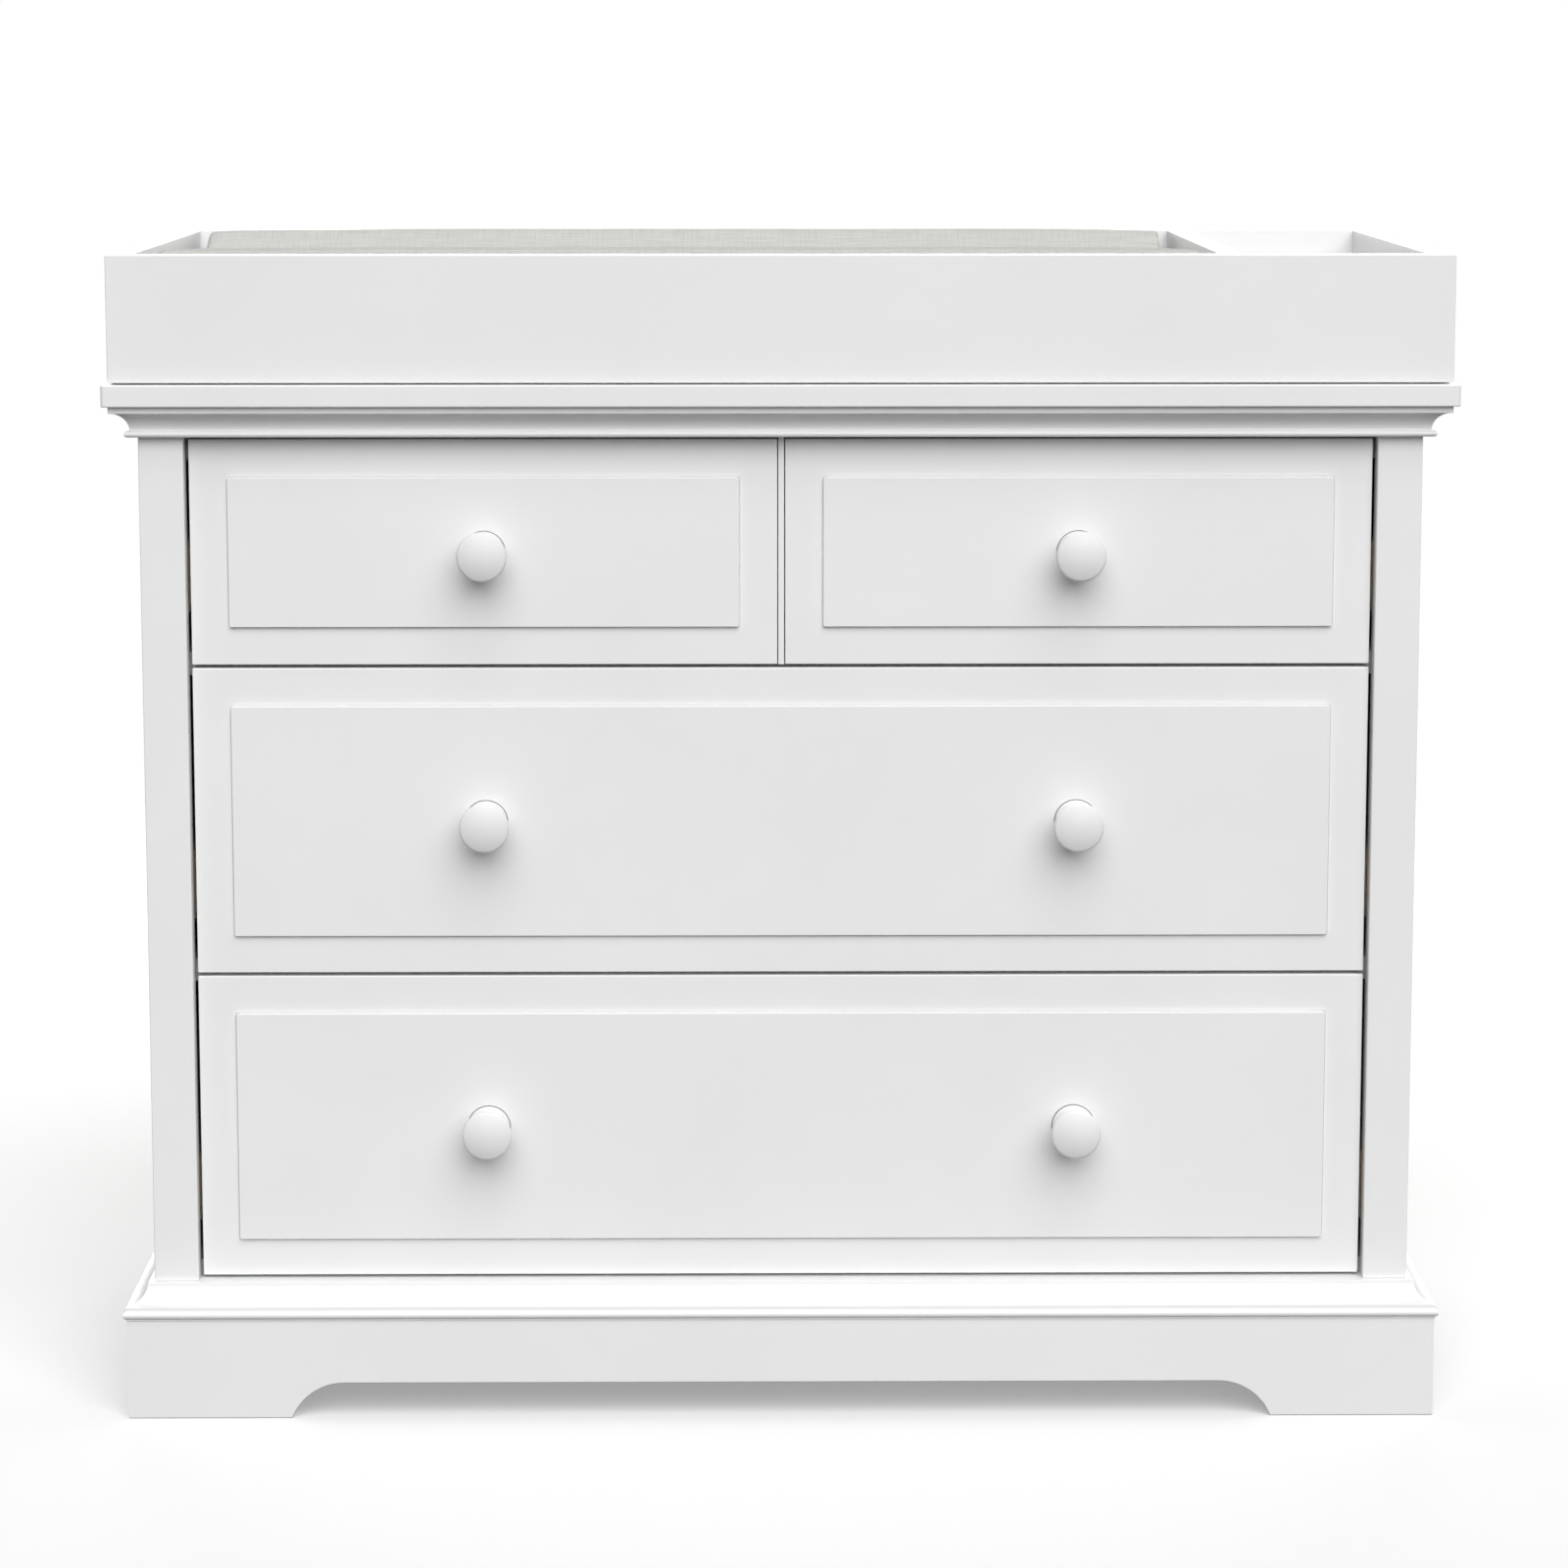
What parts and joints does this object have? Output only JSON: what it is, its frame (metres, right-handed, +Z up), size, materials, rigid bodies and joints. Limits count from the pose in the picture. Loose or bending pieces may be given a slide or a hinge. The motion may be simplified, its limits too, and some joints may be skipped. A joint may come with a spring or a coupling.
{
  "type": "changing table",
  "caption": "Painted wooden changing table: dresser with sliding drawers, round knobs, moulded cornice, arched plinth, and a lift-off tray holding a contoured pad beside a storage well.",
  "frame": {"origin": "on the floor, under the centre of the dresser top", "axes": "+X to the right seen from the front, +Y to the back, so the drawers open along -Y, +Z up"},
  "size_m": [1.05, 0.486, 0.9278],
  "materials": {
    "white_paint": "smooth satin white paint on wood",
    "drawer_box_wood": "clear-lacquered pale birch ply",
    "hardboard": "thin hardboard faced in matt off-white",
    "runner_steel": "zinc-plated folded sheet steel",
    "screw_steel": "zinc-plated screws",
    "pad_fabric": "light grey woven wipe-clean cover over foam"
  },
  "bodies": {
    "cabinet": {"back_panel": "hardboard", "back_panel_screws": "screw_steel", "bottom_panel": "white_paint", "cabinet_runners": "runner_steel", "centre_partition": "white_paint", "centre_stile": "white_paint", "cornice_front": "white_paint", "cornice_left": "white_paint", "cornice_right": "white_paint", "drawer_rails": "white_paint", "front_post_left": "white_paint", "front_post_right": "white_paint", "plinth_back": "white_paint", "plinth_front": "white_paint", "plinth_left": "white_paint", "plinth_moulding_front": "white_paint", "plinth_moulding_left": "white_paint", "plinth_moulding_right": "white_paint", "plinth_right": "white_paint", "runner_battens": "drawer_box_wood", "side_panel_left": "white_paint", "side_panel_right": "white_paint", "support_feet": "drawer_box_wood", "top_panel": "white_paint", "top_rail": "white_paint"},
    "drawer_top_left": {"drawer_top_left_back": "drawer_box_wood", "drawer_top_left_bottom": "drawer_box_wood", "drawer_top_left_front": "white_paint", "drawer_top_left_knob": "white_paint", "drawer_top_left_knob_screw": "screw_steel", "drawer_top_left_runners": "runner_steel", "drawer_top_left_sides": "drawer_box_wood"},
    "drawer_top_right": {"drawer_top_right_back": "drawer_box_wood", "drawer_top_right_bottom": "drawer_box_wood", "drawer_top_right_front": "white_paint", "drawer_top_right_knob": "white_paint", "drawer_top_right_knob_screw": "screw_steel", "drawer_top_right_runners": "runner_steel", "drawer_top_right_sides": "drawer_box_wood"},
    "drawer_middle": {"drawer_middle_back": "drawer_box_wood", "drawer_middle_bottom": "drawer_box_wood", "drawer_middle_front": "white_paint", "drawer_middle_knob_screws": "screw_steel", "drawer_middle_knobs": "white_paint", "drawer_middle_runners": "runner_steel", "drawer_middle_sides": "drawer_box_wood"},
    "drawer_bottom": {"drawer_bottom_back": "drawer_box_wood", "drawer_bottom_bottom": "drawer_box_wood", "drawer_bottom_front": "white_paint", "drawer_bottom_knob_screws": "screw_steel", "drawer_bottom_knobs": "white_paint", "drawer_bottom_runners": "runner_steel", "drawer_bottom_sides": "drawer_box_wood"},
    "topper": {"topper_back_rail": "white_paint", "topper_divider": "white_paint", "topper_end_left": "white_paint", "topper_end_right": "white_paint", "topper_front_rail": "white_paint"},
    "pad": {"changing_pad": "pad_fabric"}
  },
  "joints": [
    {"name": "top_left_slide", "type": "slide", "parent": "cabinet", "child": "drawer_top_left", "axis": [0, -1, 0], "range_m": [0, 0.29]},
    {"name": "top_right_slide", "type": "slide", "parent": "cabinet", "child": "drawer_top_right", "axis": [0, -1, 0], "range_m": [0, 0.29]},
    {"name": "middle_slide", "type": "slide", "parent": "cabinet", "child": "drawer_middle", "axis": [0, -1, 0], "range_m": [0, 0.29]},
    {"name": "bottom_slide", "type": "slide", "parent": "cabinet", "child": "drawer_bottom", "axis": [0, -1, 0], "range_m": [0, 0.29]},
    {"name": "topper_lift", "type": "slide", "parent": "cabinet", "child": "topper", "axis": [0, 0, 1], "range_m": [0, 0.15]},
    {"name": "pad_lift", "type": "slide", "parent": "cabinet", "child": "pad", "axis": [0, 0, 1], "range_m": [0, 0.15]}
  ]
}
